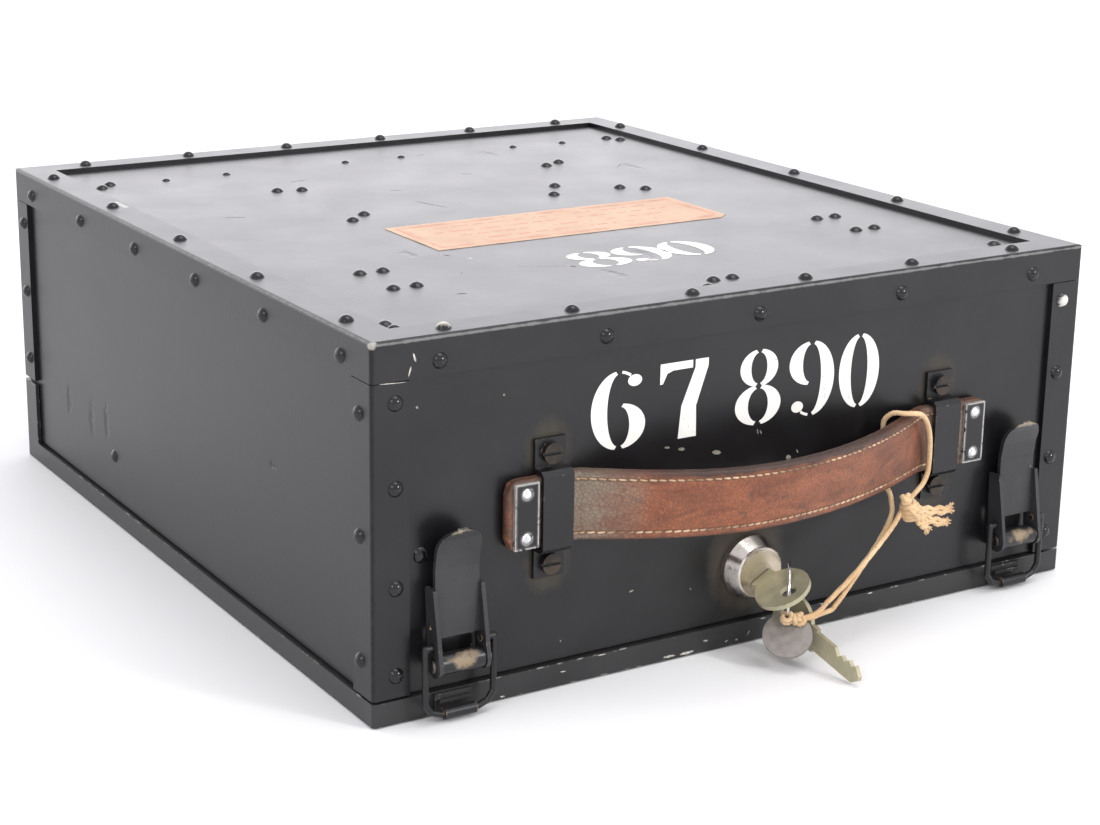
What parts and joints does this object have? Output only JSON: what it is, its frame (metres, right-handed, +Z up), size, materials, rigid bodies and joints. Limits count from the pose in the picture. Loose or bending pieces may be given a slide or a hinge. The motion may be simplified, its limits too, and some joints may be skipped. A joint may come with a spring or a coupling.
{
  "type": "rotor cipher machine in a carrying case",
  "caption": "Closed black steel carrying case with riveted edge strips, toggle latches, cylinder lock with keys and a leather strap handle, holding a keyboard cipher machine with rotors.",
  "frame": {"origin": "centre of the case's underside, on the surface it stands on", "axes": "+X to the right of a person at the front, +Y to the back, where the hood's hinges are, +Z up"},
  "size_m": [0.334, 0.4299, 0.144],
  "materials": {
    "case_paint": "satin black enamel, worn at the edges",
    "rivet_paint": "black enamel, chipped to bare metal in places",
    "fitting_paint": "black enamel, worn to brassy metal at the tips",
    "worn_steel": "blackened steel with rust",
    "strap_leather": "aged reddish-brown harness leather",
    "string": "tan twisted twine",
    "nickel": "aged nickel plate",
    "key_metal": "dull nickel silver",
    "ring_steel": "plated wire",
    "housing_paint": "grey enamel",
    "deck_paint": "black crackle enamel",
    "cover_paint": "dark grey enamel",
    "axle_steel": "ground steel",
    "knob_plastic": "black moulded plastic",
    "key_cap": "ivory moulded cap on a steel stem",
    "wheel_brass": "machined brass with a dark rim"
  },
  "bodies": {
    "base": {"base_tray": "case_paint", "machine_housing": "housing_paint", "deck_plate": "deck_paint", "wheel_cover": "cover_paint", "wheel_axle": "axle_steel"},
    "hood": {"hood_panels": "case_paint", "hood_edge_angles": "case_paint", "hood_rivets": "rivet_paint", "hinge_pins": "worn_steel", "handle_bridges": "fitting_paint", "latch_brackets": "fitting_paint", "lock_barrel": "nickel"},
    "strap": {"handle_strap": "strap_leather", "strap_stop_plates": "fitting_paint", "tie_string": "string"},
    "lever_left": {"latch_lever_left": "fitting_paint"},
    "lever_right": {"latch_lever_right": "fitting_paint"},
    "bail_left": {"latch_bail_left": "worn_steel"},
    "bail_right": {"latch_bail_right": "worn_steel"},
    "lock": {"lock_plug": "key_metal", "lock_key": "key_metal"},
    "ring": {"key_ring": "ring_steel"},
    "spare": {"spare_key": "key_metal"},
    "selector": {"selector_knob": "knob_plastic"},
    "key_a": {"key_a": "key_cap"},
    "key_b": {"key_b": "key_cap"},
    "key_c": {"key_c": "key_cap"},
    "key_d": {"key_d": "key_cap"},
    "key_e": {"key_e": "key_cap"},
    "key_f": {"key_f": "key_cap"},
    "key_g": {"key_g": "key_cap"},
    "key_h": {"key_h": "key_cap"},
    "key_i": {"key_i": "key_cap"},
    "key_j": {"key_j": "key_cap"},
    "key_k": {"key_k": "key_cap"},
    "key_l": {"key_l": "key_cap"},
    "key_m": {"key_m": "key_cap"},
    "key_n": {"key_n": "key_cap"},
    "key_o": {"key_o": "key_cap"},
    "key_p": {"key_p": "key_cap"},
    "key_q": {"key_q": "key_cap"},
    "key_r": {"key_r": "key_cap"},
    "key_s": {"key_s": "key_cap"},
    "key_t": {"key_t": "key_cap"},
    "key_u": {"key_u": "key_cap"},
    "key_v": {"key_v": "key_cap"},
    "key_w": {"key_w": "key_cap"},
    "key_x": {"key_x": "key_cap"},
    "key_y": {"key_y": "key_cap"},
    "key_z": {"key_z": "key_cap"},
    "wheel_01": {"wheel_01": "wheel_brass"},
    "wheel_02": {"wheel_02": "wheel_brass"},
    "wheel_03": {"wheel_03": "wheel_brass"},
    "wheel_04": {"wheel_04": "wheel_brass"},
    "wheel_05": {"wheel_05": "wheel_brass"},
    "wheel_06": {"wheel_06": "wheel_brass"},
    "wheel_07": {"wheel_07": "wheel_brass"},
    "wheel_08": {"wheel_08": "wheel_brass"},
    "wheel_09": {"wheel_09": "wheel_brass"},
    "wheel_10": {"wheel_10": "wheel_brass"}
  },
  "joints": [
    {"name": "hood_hinge", "type": "hinge", "parent": "base", "child": "hood", "pos_m": [0, 0.1872, 0.0395], "axis": [-1, 0, 0], "range_deg": [0, 100]},
    {"name": "strap_slide", "type": "slide", "parent": "hood", "child": "strap", "axis": [1, 0, 0], "range_m": [-0.0037, 0.0007]},
    {"name": "lever_left", "type": "hinge", "parent": "hood", "child": "lever_left", "pos_m": [-0.133, -0.189, 0.022], "axis": [1, 0, 0], "range_deg": [0, 95]},
    {"name": "bail_left", "type": "hinge", "parent": "lever_left", "child": "bail_left", "pos_m": [-0.133, -0.189, 0.029], "axis": [1, 0, 0], "range_deg": [-148, 0]},
    {"name": "lever_right", "type": "hinge", "parent": "hood", "child": "lever_right", "pos_m": [0.133, -0.189, 0.022], "axis": [1, 0, 0], "range_deg": [0, 95]},
    {"name": "bail_right", "type": "hinge", "parent": "lever_right", "child": "bail_right", "pos_m": [0.133, -0.189, 0.029], "axis": [1, 0, 0], "range_deg": [-148, 0]},
    {"name": "lock_turn", "type": "hinge", "parent": "hood", "child": "lock", "pos_m": [0, -0.19, 0.029], "axis": [0, 1, 0], "range_deg": [0, 90]},
    {"name": "ring_swing", "type": "hinge", "parent": "lock", "child": "ring", "pos_m": [0.0066, -0.1992, 0.0247], "axis": [0.7915, -0.6112, 0], "range_deg": [-10, 0]},
    {"name": "spare_swing", "type": "hinge", "parent": "ring", "child": "spare", "pos_m": [0.00883, -0.19631, 0.01348], "axis": [0.5812, 0.7526, 0.3096], "range_deg": [-8, 0]},
    {"name": "selector_turn", "type": "hinge", "parent": "base", "child": "selector", "pos_m": [0.126, -0.03, 0.08], "axis": [0, 0, 1], "range_deg": [-45, 45]},
    {"name": "press_q", "type": "slide", "parent": "base", "child": "key_q", "axis": [0, 0, 1], "range_m": [-0.004, 0], "stiffness_N_per_m": 150, "springref_m": 0.003},
    {"name": "press_w", "type": "slide", "parent": "base", "child": "key_w", "axis": [0, 0, 1], "range_m": [-0.004, 0], "stiffness_N_per_m": 150, "springref_m": 0.003},
    {"name": "press_e", "type": "slide", "parent": "base", "child": "key_e", "axis": [0, 0, 1], "range_m": [-0.004, 0], "stiffness_N_per_m": 150, "springref_m": 0.003},
    {"name": "press_r", "type": "slide", "parent": "base", "child": "key_r", "axis": [0, 0, 1], "range_m": [-0.004, 0], "stiffness_N_per_m": 150, "springref_m": 0.003},
    {"name": "press_t", "type": "slide", "parent": "base", "child": "key_t", "axis": [0, 0, 1], "range_m": [-0.004, 0], "stiffness_N_per_m": 150, "springref_m": 0.003},
    {"name": "press_z", "type": "slide", "parent": "base", "child": "key_z", "axis": [0, 0, 1], "range_m": [-0.004, 0], "stiffness_N_per_m": 150, "springref_m": 0.003},
    {"name": "press_u", "type": "slide", "parent": "base", "child": "key_u", "axis": [0, 0, 1], "range_m": [-0.004, 0], "stiffness_N_per_m": 150, "springref_m": 0.003},
    {"name": "press_i", "type": "slide", "parent": "base", "child": "key_i", "axis": [0, 0, 1], "range_m": [-0.004, 0], "stiffness_N_per_m": 150, "springref_m": 0.003},
    {"name": "press_o", "type": "slide", "parent": "base", "child": "key_o", "axis": [0, 0, 1], "range_m": [-0.004, 0], "stiffness_N_per_m": 150, "springref_m": 0.003},
    {"name": "press_a", "type": "slide", "parent": "base", "child": "key_a", "axis": [0, 0, 1], "range_m": [-0.004, 0], "stiffness_N_per_m": 150, "springref_m": 0.003},
    {"name": "press_s", "type": "slide", "parent": "base", "child": "key_s", "axis": [0, 0, 1], "range_m": [-0.004, 0], "stiffness_N_per_m": 150, "springref_m": 0.003},
    {"name": "press_d", "type": "slide", "parent": "base", "child": "key_d", "axis": [0, 0, 1], "range_m": [-0.004, 0], "stiffness_N_per_m": 150, "springref_m": 0.003},
    {"name": "press_f", "type": "slide", "parent": "base", "child": "key_f", "axis": [0, 0, 1], "range_m": [-0.004, 0], "stiffness_N_per_m": 150, "springref_m": 0.003},
    {"name": "press_g", "type": "slide", "parent": "base", "child": "key_g", "axis": [0, 0, 1], "range_m": [-0.004, 0], "stiffness_N_per_m": 150, "springref_m": 0.003},
    {"name": "press_h", "type": "slide", "parent": "base", "child": "key_h", "axis": [0, 0, 1], "range_m": [-0.004, 0], "stiffness_N_per_m": 150, "springref_m": 0.003},
    {"name": "press_j", "type": "slide", "parent": "base", "child": "key_j", "axis": [0, 0, 1], "range_m": [-0.004, 0], "stiffness_N_per_m": 150, "springref_m": 0.003},
    {"name": "press_k", "type": "slide", "parent": "base", "child": "key_k", "axis": [0, 0, 1], "range_m": [-0.004, 0], "stiffness_N_per_m": 150, "springref_m": 0.003},
    {"name": "press_p", "type": "slide", "parent": "base", "child": "key_p", "axis": [0, 0, 1], "range_m": [-0.004, 0], "stiffness_N_per_m": 150, "springref_m": 0.003},
    {"name": "press_y", "type": "slide", "parent": "base", "child": "key_y", "axis": [0, 0, 1], "range_m": [-0.004, 0], "stiffness_N_per_m": 150, "springref_m": 0.003},
    {"name": "press_x", "type": "slide", "parent": "base", "child": "key_x", "axis": [0, 0, 1], "range_m": [-0.004, 0], "stiffness_N_per_m": 150, "springref_m": 0.003},
    {"name": "press_c", "type": "slide", "parent": "base", "child": "key_c", "axis": [0, 0, 1], "range_m": [-0.004, 0], "stiffness_N_per_m": 150, "springref_m": 0.003},
    {"name": "press_v", "type": "slide", "parent": "base", "child": "key_v", "axis": [0, 0, 1], "range_m": [-0.004, 0], "stiffness_N_per_m": 150, "springref_m": 0.003},
    {"name": "press_b", "type": "slide", "parent": "base", "child": "key_b", "axis": [0, 0, 1], "range_m": [-0.004, 0], "stiffness_N_per_m": 150, "springref_m": 0.003},
    {"name": "press_n", "type": "slide", "parent": "base", "child": "key_n", "axis": [0, 0, 1], "range_m": [-0.004, 0], "stiffness_N_per_m": 150, "springref_m": 0.003},
    {"name": "press_m", "type": "slide", "parent": "base", "child": "key_m", "axis": [0, 0, 1], "range_m": [-0.004, 0], "stiffness_N_per_m": 150, "springref_m": 0.003},
    {"name": "press_l", "type": "slide", "parent": "base", "child": "key_l", "axis": [0, 0, 1], "range_m": [-0.004, 0], "stiffness_N_per_m": 150, "springref_m": 0.003},
    {"name": "turn_01", "type": "hinge", "parent": "base", "child": "wheel_01", "pos_m": [-0.09, 0.108, 0.074], "axis": [1, 0, 0], "continuous": true},
    {"name": "turn_02", "type": "hinge", "parent": "base", "child": "wheel_02", "pos_m": [-0.07, 0.108, 0.074], "axis": [1, 0, 0], "continuous": true},
    {"name": "turn_03", "type": "hinge", "parent": "base", "child": "wheel_03", "pos_m": [-0.05, 0.108, 0.074], "axis": [1, 0, 0], "continuous": true},
    {"name": "turn_04", "type": "hinge", "parent": "base", "child": "wheel_04", "pos_m": [-0.03, 0.108, 0.074], "axis": [1, 0, 0], "continuous": true},
    {"name": "turn_05", "type": "hinge", "parent": "base", "child": "wheel_05", "pos_m": [-0.01, 0.108, 0.074], "axis": [1, 0, 0], "continuous": true},
    {"name": "turn_06", "type": "hinge", "parent": "base", "child": "wheel_06", "pos_m": [0.01, 0.108, 0.074], "axis": [1, 0, 0], "continuous": true},
    {"name": "turn_07", "type": "hinge", "parent": "base", "child": "wheel_07", "pos_m": [0.03, 0.108, 0.074], "axis": [1, 0, 0], "continuous": true},
    {"name": "turn_08", "type": "hinge", "parent": "base", "child": "wheel_08", "pos_m": [0.05, 0.108, 0.074], "axis": [1, 0, 0], "continuous": true},
    {"name": "turn_09", "type": "hinge", "parent": "base", "child": "wheel_09", "pos_m": [0.07, 0.108, 0.074], "axis": [1, 0, 0], "continuous": true},
    {"name": "turn_10", "type": "hinge", "parent": "base", "child": "wheel_10", "pos_m": [0.09, 0.108, 0.074], "axis": [1, 0, 0], "continuous": true}
  ],
  "couplings": [
    {"joint": "bail_left", "follows": "lever_left", "ratio": -1.55},
    {"joint": "bail_right", "follows": "lever_right", "ratio": -1.55}
  ]
}
